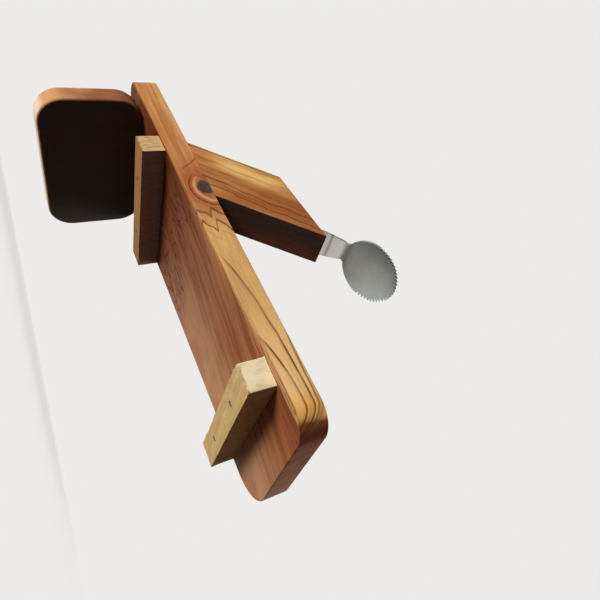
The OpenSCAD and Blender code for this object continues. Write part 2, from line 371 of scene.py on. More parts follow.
def board_marks(place, normal, colour):
    """Dark wood and painted shade at the rear, streaks, curls, sapwood outside, and the knot with
    its rings.
    """
    x, y, z = parts(place)
    slow = place.cloud(0.03)
    # Darker red at the rear, most of all below, and paler to the front: partly dark core wood,
    # partly painted shade; calm to the left
    heartwood_and_shade = (x + 0.45 * y + 60 * slow).ease(225, 50) * (0.97 - 0.44 * z.ease(21, 41))
    calm = (y + 80 * slow).ease(0, 90) * (x + 40 * slow).ease(100, 250)
    colour = lay(
        colour, (heartwood_and_shade * (0.62 + 0.38 * x.ease(5, 60)), 86, 28, 14),
        ((x + 60 * slow).ease(200, 380) * 0.55, 198, 120, 72),
        (calm * 0.9, mix(slow.ease(0.35, 0.65), tint(220, 170, 126), tint(198, 140, 100))),
        ((y + 8 * slow).ease(-50, -72) * x.ease(60, 230) * 0.75, 216, 138, 80))
    # Streaks across the face, a few degrees off the plank's length, few on the left
    drift = y * 0.95 - x * 0.3
    bands = vector(x * 0.006, drift * 0.1, z * 0.05).cloud(1, 3, 0.6)
    threads = vector(x * 0.011, drift * 0.34, z * 0.2).cloud(1, 3, 0.7)
    light = bands.ease(0.5, 0.34) * (x + 60 * slow).ease(90, 240)
    # Curly grain behind the branch, cut slantwise, and a red patch at the front right
    curl = (place.cloud((0.014, 0.035, 0.05), 1) * 12).math("FRACT")
    curl = curl.ease(0.6, 0.94) * curl.ease(1, 0.94) * (x + 70 * slow).ease(210, 150)
    red = (x - 0.5 * y + 30 * slow).ease(325, 365) * (y + 40 * slow).ease(-8, -44)
    colour = lay(
        colour, (bands.ease(0.48, 0.66) * (0.5 - 0.35 * calm), 116, 51, 29),
        (light * 0.35, 204, 144, 98), (threads.ease(0.53, 0.7) * (0.45 - 0.4 * calm), 100, 43, 21),
        (curl * (0.66 - 0.5 * z.ease(21, 41)), 58, 24, 18), (red * 0.7, 136, 64, 34))
    # Sapwood along the right edge
    outside = (y + (slow - 0.5) * 8).ease(board_low.y + 5, board_low.y + 0.5)
    rear = x.ease(190, 70)
    streak = place.cloud((0.018, 0.4, 0.42), 3, 0.6).ease(0.42, 0.75)
    upper = (z + 14 * (slow - 0.5)).ease(33, 39) * x.ease(90, 40)
    light = place.cloud((0.012, 0.2, 0.26), 3, 0.6).ease(0.5, 0.66)
    sap = lay(
        mix(rear * 0.85, tint(238, 186, 118), tint(206, 132, 74)),
        (streak * 0.55, mix(rear, tint(196, 140, 82), tint(164, 92, 50))),
        (upper * 0.6, 234, 184, 112), (light * rear * 0.5, 246, 196, 128),
        (place.cloud((0.012, 0.2, 0.1)).ease(0.5, 0.72) * 0.45, 206, 150, 112))
    colour = mix(outside * 0.88, colour, sap)
    # Redder wood round the branch; rings flow round its lower front side
    away = knot_distance(place, 0.5)
    over, up = (x - KNOT.x) / 22, (z - KNOT.z - 4) / 16.5
    hoop = (over * over + up * up) ** 0.5 + (place.cloud(0.1) - 0.5) * 0.12
    below = (x - 1.1 * (z - KNOT.z)).ease(112, 132) * outside
    hoops = [(hoop.ridge(ring, 0.09, 0.05) * below * power, 110, 56, 26)
             for ring, power in ((1, 0.95), (0.88, 0.45), (1.2, 0.2))]
    smudge = away.near(1.9, 1.1) * place.cloud(0.22, 3).ease(0.45, 0.6) * (1 - below)
    # One more ring ends behind the branch as a dark slanting line
    path = z - 37.1 + 1.2 * (x - 94.2) + (place.cloud(0.12) - 0.5) * 5
    stub = path.near(0, 2.4) * x.ease(86, 93) * x.ease(108, 102) * outside
    colour = lay(
        colour, (away.ease(6, 1.5) * outside * 0.85, 174, 92, 56),
        (hoop.near(0.76, 0.16) * below * 0.75, 232, 172, 108), *hoops,
        (smudge * outside * 0.6, 128, 66, 44), (stub * 0.66, 122, 60, 34))
    # Strong ring lines, from the underside to the front corner, which is the brightest part
    uneven = 0.7 + 0.4 * place.cloud(0.05).ease(0.3, 0.6)
    lines = [(ring_line(place, *sheet) * x.ease(*reach) * uneven * power, 122, 68, 28)
             for sheet, reach, power in (
                 ((36.3, -14.5, 207, 42, 3.4), (198, 226), 0.85),
                 ((38.3, 4.5, 270, 18, 1.6, 1.4), (262, 285), 0.68),
                 ((30.4, -8.2, 284, 20, 3.2), (276, 292), 0.85),
                 ((21.6, 0, 284, 20, 2), (290, 325), 0.595),
                 ((33.4, -12, 240, 36, 2), (290, 320), 0.255))]
    arris = z.ease(board_low.z + 2.4, board_low.z + 0.6) * x.ease(220, 300)
    # Painted shade: a darker mauve band along the top edge at the front, which turns up away from
    # the low lamp
    top_edge_shade = ring_line(place, 40.5, 3, 270, 30, 4.5, 3) * x.ease(262, 296)
    colour = lay(
        colour, (x.ease(240, 330) * outside * 0.8, 255, 208, 146),
        (x.ease(322, 338) * outside * 0.75, 246, 176, 78), (arris * outside * 0.6, 146, 94, 54),
        (top_edge_shade * 0.6, 150, 104, 84), *lines)
    # Zigzag where the rings close up in front of the branch
    part = ((z - 20.5) / 11.5).math("FRACT")
    wave = (part / 0.74).math("MINIMUM", (1 - part) / 0.26)
    wander = (place.cloud(0.12, 3) - 0.5) * 11
    for spot, height, width, power in ((168, 14, 2.5, 0.9), (156, 8, 2.6, 0.75),
                                       (181, 10, 1.6, 0.2)):
        fold, share = x - wave * height - wander, outside * power
        colour = lay(colour, (fold.near(spot - 1.2, width * 2.4) * share * 0.45, 168, 98, 48),
                     (fold.near(spot, width) * share, 104, 54, 24))
    # The knot itself, grey and checked
    core = (away + (place.cloud(0.4, 3) - 0.5) * 0.35).ease(1.08, 0.86)
    checks = (place.cloud(0.9) - 0.5).math("ABSOLUTE").ease(0, 0.05)
    heart = mix(place.cloud(0.35, 3), tint(112, 86, 76), tint(66, 50, 46))
    return mix(core, colour, mix(checks, tint(44, 33, 30), heart))


board_wood = wooden(
    "board_wood", tint(178, 116, 78), tint(140, 82, 52), tint(96, 50, 30),
    pith=(0, 150, 170), turn=(0, 2, -9), ring=7.5, wander=34, contrast=0.42,
    rough=0.52, swell=knot_swell, extra=board_marks)

# %% Stop plate, arm and battens


def plate_marks(place, normal, colour):
    """Pale edges, pale end grain below with a painted highlight on it, and painted shade on the
    front face.
    """
    ahead, _, up = parts(normal)
    rim = ahead.math("ABSOLUTE").ease(0.97, 0.86)
    patch = place.cloud(0.04, 3)
    redder = (patch * 1.6 - 0.8 + parts(place)[2].ease(-66, 4)).ease(0, 0.9)
    return lay(
        colour, (rim * 0.85, mix(redder, tint(222, 164, 112), tint(160, 98, 66))),
        # Painted highlight over pale end grain: the bottom edge is coated near-white
        (up.ease(-0.6, -0.92) * (0.7 + 0.3 * patch), 250, 228, 198),
        # Painted shade: the front face, turned away from the lamps, is coated dark grey
        (ahead.ease(0.95, 0.98) * (0.84 + 0.16 * patch), 84, 84, 84))


plate_wood = wooden(
    "plate_wood", tint(180, 120, 80), tint(142, 86, 56), tint(100, 58, 38),
    pith=(80, 30, 0), turn=(0, 90, 0), ring=7, wander=30, contrast=0.4,
    rough=0.6, arris_axis=0, extra=plate_marks)

arm_low, arm_high = millimetres("arm")
ARM_LEAN = 51.0


def arm_marks(place, normal, colour):
    """A pale wedge of sapwood to the rear, dark lines that run to the tip, and painted shade on
    the front, with a painted bounce of light near the tip.
    """
    x, y, z = parts(place)
    slope = math.radians(ARM_LEAN)
    across = x * math.sin(slope) - z * math.cos(slope)
    along = x * math.cos(slope) + z * math.sin(slope)
    bend = (place.cloud(0.02) - 0.5) * 11 + (place.cloud(0.07, 3) - 0.5) * 6
    level = across - along * 0.07 + bend
    streak = vector(along * 0.02, across * 0.3, y * 0.1).cloud(1, 3, 0.6)
    blot = vector(along * 0.035, across * 0.08, y * 0.05).cloud(1, 3, 0.6)
    wedge = level.ease(14, 24) * (level + 14 * blot).ease(52, 40)
    wedge = wedge * (along + 34 * blot).ease(104, 140)
    middle = (level - 8 * blot).near(44, 9) * (0.4 + 0.6 * streak)
    lines = []
    for spot, soft, power in ((64.5, 2.2, 0.95), (57, 2.6, 0.85), (50.5, 3, 0.45),
                              (43, 2, 0.2), (60.5, 1.5, 0.35), (34, 2.2, 0.24)):
        line = level.ridge(spot, soft, 0.4) * 0.6 + level.near(spot - 0.1, 0.7) * 0.5
        lines.append((line * power * (0.45 + 0.8 * streak), 98, 50, 22))
    rear_edge = across.near(28.8, 1.5) * along.ease(158, 130)
    # Painted shade: the front slope, which faces away from the lamps, is coated dark grey
    front = (parts(normal)[0] - parts(normal)[2]).ease(1, 1.35)
    # Painted bounce light from the plank: less of the shade coat towards the left near the tip, so
    # redder there
    painted_bounce = (y + 16 * blot).ease(-52, -34) * along.ease(130, 175)
    return lay(
        colour, (wedge * (1 - 0.6 * streak.ease(0.42, 0.7)), 244, 194, 120),
        (wedge * blot.ease(0.5, 0.7) * 0.35, 174, 122, 58),
        (level.ease(24, 20) * along.ease(80, 130) * 0.4, 200, 138, 66),
        (middle * 0.48, 140, 78, 36), ((along + 1.1 * across).ease(196, 226) * 0.6, 160, 88, 42),
        *lines, (rear_edge * (0.4 + 0.6 * streak), 92, 50, 28),
        (front * (0.8 + 0.15 * blot - 0.24 * painted_bounce), 69, 68, 66))


arm_wood = wooden(
    "arm_wood", tint(210, 147, 88), tint(174, 108, 60), tint(118, 64, 32),
    pith=(140, 10, 30), turn=(0, ARM_LEAN + 4, 0), ring=8, wander=22, contrast=0.35,
    rough=0.52, arris_axis=1, extra=arm_marks)


def sawn_marks(place, normal, colour):
    """Pale soft ends, tracks of the saw, painted shade on the front faces and a browner rear
    batten.
    """
    x, _, z = parts(place)
    ahead, ends, _ = parts(normal)
    ends, front = ends.math("ABSOLUTE").ease(0.6, 0.9), ahead.ease(0.7, 0.95)
    rear = x.ease(200, 150)
    fuzz = place.cloud((0.3, 0.5, 0.5), 4, 0.7).ease(0.5, 0.8)
    soft = place.cloud(0.09, 3).ease(0.35, 0.65) * 0.75 + fuzz * 0.25
    torn = place.cloud((0.5, 0.9, 0.22), 3, 0.6).ease(0.57, 0.68)
    ragged = (z + 5 * (place.cloud(0.45, 3) - 0.5)).ease(1.6, 0.6)
    tracks = place.cloud((0.12, 1.5, 0.12)).ease(0.5, 0.75)
    mottle = place.cloud((0.16, 0.05, 0.16), 4, 0.65)
    grain = place.cloud((0.7, 0.5, 0.09), 3).ease(0.52, 0.64)
    fibres = place.cloud((0.5, 0.6, 0.1), 3, 0.6).ease(0.35, 0.7)
    return lay(
        colour, (ends * 0.95, mix(soft, tint(255, 238, 196), tint(238, 204, 152))),
        (rear * ends * 0.5, 222, 176, 104), (torn * (0.3 - 0.2 * ends), 146, 104, 60),
        (ragged * ends * 0.65, 150, 98, 52), (tracks * 0.3, 178, 138, 88),
        (mottle.ease(0.5, 0.7) * (1 - ends) * 0.45, 206, 160, 100),
        (mottle.ease(0.48, 0.3) * (1 - ends) * 0.45, 255, 232, 172),
        (rear * ends * grain * 0.65, 130, 88, 46), (rear * (0.85 - 0.6 * ends), 166, 112, 68),
        # Painted shade on the faces that look forward: a grey-brown coat with fibres, greyer on the
        # rear batten
        (front * rear * 0.8, 196, 172, 158),
        (front * 0.36, mix(fibres, tint(84, 62, 58), tint(168, 126, 106))))


batten_wood = wooden(
    "batten_wood", tint(246, 209, 144), tint(230, 188, 124), tint(194, 150, 92),
    pith=(50, 0, -46), turn=(0, 0, -90), ring=4.5, wander=14, contrast=0.25, rough=0.75,
    extra=sawn_marks)
dowel_wood = wooden(
    "dowel_wood", tint(222, 188, 136), tint(204, 164, 110), tint(176, 134, 88),
    pith=(120, -50, 0), turn=(0, 90, 0), ring=2.4, wander=6, contrast=0.4, rough=0.6)

# %% [markdown]
# ## Metal
# The blade is stainless sheet, ground to a satin face: most of its brightness comes from what
# it mirrors, so it needs few colours and much fine texture, and painted shade darkens its bends
# and its dish towards the tip. Long scratches run with the shank, and faint stains break the
# shine. Nails are brown with rust, screws are zinc plated.

# %% Blade, nail and screw steel


def steel(name, bright, dull, rough, turn, stains=0.3, extra=None):
    """Metal with fine scratches along its own X after a turn about Y. extra(place, normal,
    colour) returns another colour, and how far the surface mirrors."""
    material, surface, place, normal = finish_named(name)
    along = log_frame(place, (0, 0, 0), (0, turn, 0))
    scratches = along.cloud((0.12, 5, 5), 4, 0.7)
    smears = place.cloud(0.07, 3, 0.6)
    spots = place.cloud(0.55).ease(0.62, 0.8)
    colour = mix(smears.ease(0.3, 0.75) * 0.6 + spots * stains, bright, dull)
    metallic = 1.0
    if extra:
        colour, metallic = extra(place, normal, colour)
    feed(surface, Base_Color=colour, Metallic=metallic,
         Roughness=rough + 0.14 * (smears - 0.5) + 0.12 * (scratches - 0.5),
         Normal=bumps(scratches, 0.12, 0.05))
    print(name, "has", len(material.node_tree.nodes), "nodes")
    return material


CREASE = Vector((193.2, 120.7))
SHANK_LEAN = 53.0
PRESS_AT = 7.8


def blade_marks(place, normal, colour):
    """The strip keeps the bright skin of the mill and dark sheared edges, with painted shade
    in its pressed line and at the neck's bend. The dish was sanded dull, and painted shade
    darkens it towards its tip and its right side."""
    x, y, z = parts(place)
    _, side, up = parts(normal)
    slope = math.radians(SHANK_LEAN)
    along = (x - CREASE.x) * math.cos(slope) + (z - CREASE.y) * math.sin(slope)
    skin = along.ease(26, 18)
    sheared = side.math("ABSOLUTE").ease(0.5, 0.8)
    # Painted shade: the dish darkens towards its tip and its right side
    tip_shade = (along * 0.8 - y + 14 * place.cloud(0.05)).ease(98, 138) * (1 - skin)
    # Painted shade: dark bands where the strip bends, at its pressed line and at the neck
    bend_shade = along.near(PRESS_AT, 2.4) * 0.5 + along.near(25, 4.5) * 0.4
    colour = lay(
        colour, (up.ease(0.1, -0.7) * 0.5, 168, 186, 184), (tip_shade * 0.8, 100, 104, 100),
        (skin * 0.9, 226, 229, 227), (bend_shade + sheared * 0.75 * skin, 84, 84, 80))
    return colour, 0.25 + 0.75 * skin


def rust(place, normal, colour):
    """Brown rust in patches, which mirrors little."""
    return mix(place.cloud(0.6, 3).ease(0.3, 0.6) * 0.8, colour, tint(98, 64, 42)), 0.35


blade_steel = steel("blade_steel", tint(192, 200, 197), tint(150, 155, 151), 0.44, SHANK_LEAN,
                    extra=blade_marks)
nail_steel = steel("nail_steel", tint(132, 118, 98), tint(92, 72, 56), 0.55, 90, 0.5, rust)
screw_steel = steel("screw_steel", tint(172, 170, 162), tint(146, 140, 124), 0.4, 90)

# %% [markdown]
# ## Pieces of wood
# Every wooden piece is an outline, drawn out to a thickness. A Bevel modifier then takes
# its sharp edges off, as sandpaper does, and weighted normals keep the broad faces flat
# in the light. Holes for nail and screw heads are cut with a Boolean afterwards, so that
# the heads sit in the wood and not on it.

# %% Outlines, prisms and cutting
ARRIS_ANGLE = 30


def heading(degrees):
    """The unit vector of a slope, in a plane."""
    return Vector((math.cos(math.radians(degrees)), math.sin(math.radians(degrees))))


def rounded(low, high, radii, steps=14):
    """Corner points of a rectangle with four round corners, anticlockwise from the front right."""
    (u0, v0), (u1, v1) = low, high
    points = []
    for u, v, into_u, into_v, start, radius in zip(
            (u1, u1, u0, u0), (v0, v1, v1, v0), (-1, -1, 1, 1), (1, -1, -1, 1),
            (-90, 0, 90, 180), radii):
        middle = Vector((u + into_u * radius, v + into_v * radius))
        points += [middle + radius * heading(start + 90 * i / steps) for i in range(steps + 1)]
    return points


def opened(piece):
    """The mesh of a piece, open for changes."""
    shape = bmesh.new()
    shape.from_mesh(piece.data)
    return shape


def write(shape, mesh):
    """Writes an opened mesh down, its faces pointing outwards."""
    bmesh.ops.recalc_face_normals(shape, faces=shape.faces)
    shape.to_mesh(mesh)
    shape.free()


def new_object(name, shape):
    """A new object from an opened mesh."""
    made = add(name, bpy.data.meshes.new(name))
    write(shape, made.data)
    return made


def loft(name, rings):
    """A solid through rings of points in millimetres, closed at both ends."""
    shape = bmesh.new()
    rings = [[shape.verts.new([v * MM for v in spot]) for spot in ring] for ring in rings]
    shape.faces.new(rings[0])
    shape.faces.new(rings[-1])
    for ring, following in zip(rings, rings[1:]):
        for i in range(len(ring)):
            j = (i + 1) % len(ring)
            shape.faces.new((ring[i], ring[j], following[j], following[i]))
    return new_object(name, shape)


def prism(name, outline, span, axes="xyz"):
    """Outline in the plane of the first two axes, drawn out along the third one, in mm."""
    order = [axes.index(axis) for axis in "xyz"]
    return loft(name, [[[(u, v, h)[i] for i in order] for u, v in outline] for h in span])


def settle(piece):
    """Turns a piece and its modifiers into a plain mesh."""
    graph = bpy.context.evaluated_depsgraph_get()
    mesh = bpy.data.meshes.new_from_object(piece.evaluated_get(graph), depsgraph=graph)
    piece.modifiers.clear()
    piece.data = mesh
    return piece


def cut(piece, tool, operation="DIFFERENCE"):
    """Cuts one closed shape with another, or joins them, and throws the tool away."""
    step = piece.modifiers.new("cut", "BOOLEAN")
    step.operation, step.solver, step.object = operation, "EXACT", tool
    settle(piece)
    bpy.data.objects.remove(tool)


def sand(piece, radius, segments, share):
    """Rounds sharp edges to a share of a radius in millimetres, asked for at each middle."""
    shape = opened(piece)
    weight = shape.edges.layers.float.new("bevel_weight_edge")
    for edge in shape.edges:
        if edge.calc_face_angle(0) > math.radians(ARRIS_ANGLE):
            edge[weight] = share((edge.verts[0].co + edge.verts[1].co) / 2 / MM)
    write(shape, piece.data)
    step = piece.modifiers.new("sand", "BEVEL")
    step.width, step.segments, step.limit_method = radius * MM, segments, "WEIGHT"
    settle(piece)


def smooth(piece, angle=40):
    """Smooth shading up to an angle, with the broad faces kept flat."""
    piece.data.shade_smooth()
    piece.data.set_sharp_from_angle(angle=math.radians(angle))
    step = piece.modifiers.new("weigh", "WEIGHTED_NORMAL")
    step.keep_sharp = True
    return settle(piece)


def put(piece, spot, turn):
    """Turns a mesh about the origin by a matrix and takes it to a spot in millimetres."""
    piece.data.transform(Matrix.Translation(Vector(spot) * MM) @ turn)


def about(axis, degrees):
    """The matrix of a turn about an axis."""
    return Matrix.Rotation(math.radians(degrees), 4, axis)


def dress(piece, finish, node):
    """Gives a piece its finish, lets it ride on the root body and hides the CAD node it replaces.
    """
    piece.data.materials.clear()
    piece.data.materials.append(finish)
    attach(piece, "root")
    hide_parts(node)
    shape = opened(piece)
    gaps = sum(1 for e in shape.edges if len(e.link_faces) != 2)
    volume = shape.calc_volume(signed=True) / MM**3 / 1000
    shape.free()
    print(f"{piece.name}: {len(piece.data.polygons)} faces, {gaps} open edges, {volume:.1f} cm3")


print("carpentry helpers ready")

# %% [markdown]
# ## Screws and nails
# A screw is a small shape that is repeated in a row, which is work for Geometry Nodes:
# one tree turns a head and a shank, cuts the cross that a driver turns, and sets copies
# at even distances. The same tree makes the holes' shape, a little wider all round. The
# sizes are named inputs of the tree, so that one tree serves all of them.

# %% Building and running a tree of Geometry Nodes


def new_rule(name, sizes):
    """A tree with one named input for each size, and its inputs as wires."""
    tree = bpy.data.node_groups.new(name, "GeometryNodeTree")
    tree.interface.new_socket("Mesh", in_out="OUTPUT", socket_type="NodeSocketGeometry")
    kinds = {int: "NodeSocketInt", float: "NodeSocketFloat"}
    for key, value in sizes.items():
        tree.interface.new_socket(key, in_out="INPUT", socket_type=kinds[type(value)])
    entry = tree.nodes.new("NodeGroupInput")
    return tree, {key: Wire(tree, entry.outputs[key]) for key in sizes}


def end_rule(result, finish):
    """Closes a tree: real meshes instead of instances, with their material."""
    real = result.node("GeometryNodeRealizeInstances", {"Geometry": result})
    dressed = real.node("GeometryNodeSetMaterial", {"Geometry": real, "Material": finish})
    leave = result.tree.nodes.new("NodeGroupOutput")
    result.tree.links.new(dressed.socket, leave.inputs["Mesh"])
    return result.tree


def run_rule(name, tree, sizes):
    """Runs a tree with these sizes and returns the plain mesh as an object."""
    made = add(name, bpy.data.meshes.new(name))
    step = made.modifiers.new("rule", "NODES")
    step.node_group = tree
    for item in tree.interface.items_tree:
        if item.in_out == "INPUT":
            step[item.identifier] = sizes[item.name]
    return settle(made)


# %% The tree for a row of fasteners
SCREW = {"Count": 3, "Pitch": 42 * MM, "Head": 8 * MM, "Head height": 2 * MM,
         "Neck": 4.4 * MM, "Shank": 4 * MM, "Length": 55 * MM, "Recess": 1.3 * MM}
NAIL = {"Count": 2, "Pitch": 66 * MM, "Head": 5 * MM, "Head height": 1.2 * MM,
        "Neck": 5 * MM, "Shank": 2.4 * MM, "Length": 32 * MM, "Recess": 0.0}
CROSS_LONG, CROSS_WIDE = 0.62, 0.13


def fastener_rule(name, finish, recessed):
    """Fasteners in a row along Y, heads up at z = 0, shanks down."""
    tree, size = new_rule(name, SCREW)
    wide, high = size["Head"], size["Head height"]
    head = high.node("GeometryNodeMeshCone", {
        "Vertices": 48, "Radius Top": wide * 0.5, "Radius Bottom": size["Neck"] * 0.5,
        "Depth": high}, "Mesh")
    shank = high.node("GeometryNodeMeshCylinder", {
        "Vertices": 32, "Radius": size["Shank"] * 0.5, "Depth": size["Length"] - high * 0.5},
        "Mesh")
    head, shank = [part.node("GeometryNodeTransform", {
        "Geometry": part, "Translation": vector(0, 0, down)}) for part, down in (
            (head, -high), (shank, (size["Length"] + high * 0.5) * -0.5))]
    whole = head.node("GeometryNodeMeshBoolean", {1: head}, "Mesh",
                      operation="UNION", solver="EXACT")
    tree.links.new(shank.socket, whole.socket.node.inputs[1])
    cross = ((CROSS_LONG, CROSS_WIDE), (CROSS_WIDE, CROSS_LONG))
    for long, short in cross if recessed else ():
        block = vector(wide * long, wide * short, size["Recess"] * 2)
        block = block.node("GeometryNodeMeshCube", {"Size": block}, "Mesh")
        whole = whole.node("GeometryNodeMeshBoolean", {0: whole, 1: block}, "Mesh",
                           operation="DIFFERENCE", solver="EXACT")
    start = (size["Count"] - 1) * size["Pitch"] * -0.5
    row = start.node("GeometryNodeMeshLine", {
        "Count": size["Count"], "Start Location": vector(0, start, 0),
        "Offset": vector(0, size["Pitch"], 0)})
    return end_rule(row.node("GeometryNodeInstanceOnPoints", {"Points": row, "Instance": whole}),
                    finish)


screw_tree = fastener_rule("screw_row", screw_steel, True)
nail_tree = fastener_rule("nail_row", nail_steel, False)
hole_tree = fastener_rule("hole_row", screw_steel, False)
print("trees:", len(screw_tree.nodes), "and", len(nail_tree.nodes), "nodes")

# %% Set the screws, and the shape of a hole
BORE_GAP, CUT_PAST, SCREW_SINK = 0.12, 0.02, 0.15
HEAD_ANGLE = 35
plate_low, plate_high = millimetres("stop_plate")
SCREW_SPOT = Vector(((plate_low.x + plate_high.x) / 2, 0, board_high.z))
UP = Vector((0, 0, 1))


def wider(sizes, deeper=0):
    """The sizes of a fastener's hole: a gap all round, a deeper head and no recess."""
    grown = dict(sizes, Recess=0.0)
    for key in ("Head", "Neck", "Shank"):
        grown[key] += 2 * BORE_GAP * MM
    grown["Head height"] += deeper * MM
    return grown


screws = run_rule("plate_screws", screw_tree, SCREW)
put(screws, SCREW_SPOT - SCREW_SINK * UP, about("Z", 0))
dress(smooth(screws, HEAD_ANGLE), screw_steel, "stop_plate_screws")

# %% [markdown]
# ## Plank and stop plate
# Both come from the same board. The plank's front left corner is rounder than the other
# three, and its front end was sanded harder, because the hand feels it first. The stop
# plate hangs under the rear of the plank with its grain upright, so that its bottom edge
# shows end grain. Its rear edges are well rounded, because they face the cook; the front
# ones, which rest on the counter, were rounded about half as much.

# %% Plank
BOARD_CORNER, FRONT_LEFT_CORNER, BOARD_SAND = 19, 34, 3
board = prism("plank", rounded(board_low.xy, board_high.xy,
                               (BOARD_CORNER, FRONT_LEFT_CORNER, BOARD_CORNER, BOARD_CORNER)),
              (board_low.z, board_high.z))


def worn_front(middle):
    """The front end's lower edge was sanded twice as round as the others."""
    return 1 if middle.x > board_high.x - BOARD_CORNER and middle.z < board_low.z + 1 else 0.5


sand(board, BOARD_SAND, 4, worn_front)
countersinks = run_rule("countersinks", hole_tree, wider(SCREW))
put(countersinks, SCREW_SPOT + CUT_PAST * UP, about("Z", 0))
cut(board, countersinks)
dress(smooth(board), board_wood, "base_board")

# %% Stop plate
PLATE_CORNER, PLATE_SAND = 24, 4.5
plate = prism("stop_board", rounded((plate_low.z, plate_low.y), (plate_high.z, plate_high.y),
                                    [PLATE_CORNER] * 4), (plate_low.x, plate_high.x), "zyx")


def sanded_edges(middle):
    """Full rounding behind, about half of it in front, next to none up at the plank."""
    below = min(1, max(0.1, (board_low.z - middle.z) / 12))
    return below * (0.56 if middle.x > plate_high.x - 1 else 1)


sand(plate, PLATE_SAND, 4, sanded_edges)
dress(smooth(plate), plate_wood, "stop_plate")

# %% [markdown]
# ## Battens and their nails
# Two battens of pale wood, cut to length with a coarse saw and nailed on from below.
# Nobody sanded them: their edges are broken unevenly, where fibres chipped off. So each
# edge is split into short lengths first, and noise decides how far each one is broken.
# The front batten stands a few degrees off square.

# %% Battens
FRONT_TURN = 4
FOOT_W, NAIL_SINK = 22, 0.4
CHIP, CHIP_LENGTH = 2.6, 2.6
rear_low, rear_high = millimetres("rear_foot")
foot_l = rear_high.y - rear_low.y


def split_edges(piece, spacing):
    """Adds points along all edges, about every `spacing` millimetres."""
    shape = opened(piece)
    for edge in list(shape.edges):
        vert = edge.verts[0]
        for left in range(int(edge.calc_length() / MM / spacing), 1, -1):
            _, vert = bmesh.utils.edge_split(edge, vert, 1 / left)
    write(shape, piece.data)


def chipped(middle):
    """How far an edge is broken there: mostly little, most of all at the ends, and next
    to nothing where it lies against the plank."""
    slow, fast = noise.noise(middle * 0.13), noise.noise(middle * 0.45 + Vector((9, 4, 2)))
    share = 1 if abs(middle.y) > foot_l / 2 - 4 else 0.6
    if middle.z > rear_high.z - 1:
        share = 0.2
    return min(1, max(0.2, 0.34 + 0.9 * slow + 0.55 * fast)) * share


def batten(name, node, degrees):
    """A batten with its nails: chipped first, then turned and drilled."""
    low, high = millimetres(node)
    middle = (low + high) / 2
    middle.z = 0
    half = Vector((FOOT_W / 2, foot_l / 2))
    (x0, y0), (x1, y1) = middle.xy - half, middle.xy + half
    made = prism(name, [(x0, y0), (x1, y0), (x1, y1), (x0, y1)], (low.z, high.z))
    split_edges(made, CHIP_LENGTH)
    sand(made, CHIP, 2, chipped)
    turn = about("Z", degrees)
    put(made, middle, turn @ Matrix.Translation(-middle * MM))
    flipped = turn @ about("X", 180)
    holes = run_rule(name + "_holes", hole_tree, wider(NAIL, NAIL_SINK))
    put(holes, middle - CUT_PAST * UP, flipped)
    cut(made, holes)
    dress(smooth(made), batten_wood, node)
    nails = run_rule(name + "_nails", nail_tree, NAIL)
    put(nails, middle + NAIL_SINK * UP, flipped)
    dress(smooth(nails, HEAD_ANGLE), nail_steel, node + "_nails")


batten("rear_batten", "rear_foot", 0)
batten("front_batten", "front_foot", FRONT_TURN)

# %% [markdown]
# ## Arm
# A block sawn to a slant, glued and dowelled to the plank. Its side view is drawn from
# its front foot: up the slope, back along the top, round the rear corner and down again.
# The blade's slot is cut into its top, a hair wider than the sheet.

# %% Arm
ARM_FOOT_X, ARM_L, ARM_DEPTH, TOP_RISE, ARM_CORNER, ARM_SAND = 140, 98.5, 57, 5.5, 5, 1.3
BLADE_T, TANG_W, TANG_L, TANG_LEAN, TANG_BACK, CREASE_OUT = 2, 27, 38, 58, 11.5, 5
SLOT_GAP, SLOT_BELOW, SLOT_ABOVE = 0.2, 0.5, 6
arm_y = (arm_low.y + arm_high.y) / 2


def arm_outline():
    """Side view of the arm, as (x, z) points, and its tip."""
    foot = Vector((ARM_FOOT_X, board_high.z))
    tip = foot + ARM_L * heading(ARM_LEAN)
    foot_len = ARM_DEPTH / math.sin(math.radians(ARM_LEAN))
    top_len = ARM_DEPTH / math.sin(math.radians(ARM_LEAN - TOP_RISE))
    rear = tip - top_len * heading(TOP_RISE)
    corner = 180 - ARM_LEAN + TOP_RISE
    start = ARM_CORNER / math.tan(math.radians(corner / 2))
    middle = rear + start * heading(TOP_RISE) - ARM_CORNER * heading(TOP_RISE + 90)
    arc = [middle + ARM_CORNER * heading(90 + TOP_RISE + (180 - corner) * i / 8) for i in range(9)]
    return [foot - Vector((foot_len, 0)), foot, tip, *arc], tip


def sharp_foot(middle):
    """The joint with the plank stays sharp."""
    return 1 if middle.z > board_high.z + 1 else 0


outline, arm_tip = arm_outline()
arm = prism("leaning_arm", outline, (arm_low.y, arm_high.y), "xzy")
sand(arm, ARM_SAND, 3, sharp_foot)

exit_spot = arm_tip - TANG_BACK * heading(TOP_RISE)
slot_low = exit_spot - (TANG_L + SLOT_BELOW) * heading(TANG_LEAN)
slot_high = exit_spot + SLOT_ABOVE * heading(TANG_LEAN)
off = (BLADE_T / 2 + SLOT_GAP) * heading(TANG_LEAN + 90)
slot_half = TANG_W / 2 + SLOT_GAP
cut(arm, prism("tang_slot", [slot_low - off, slot_high - off, slot_high + off, slot_low + off],
               (arm_y - slot_half, arm_y + slot_half), "xzy"))
dress(smooth(arm), arm_wood, "arm")

# The dowels stay inside the joint; they only need their finish
for holder in nodes["arm_dowels"].material_slots:
    holder.material = dowel_wood

# %% [markdown]
# ## Blade
# The dish follows a rule all round: a shell between two spheres, cut off at a radius
# that depends on the direction. Round the front the radius drops to the root of each
# gap and climbs back to a narrow land, which makes the teeth; at the back it grows to
# the square end of the neck. Geometry Nodes lay a grid round that rule: one way round
# the dish, the other way from the middle of the hollow over the rim and back to the
# middle of the outside. The grid's columns are set where the file starts and stops, so
# that each tooth has sharp corners.

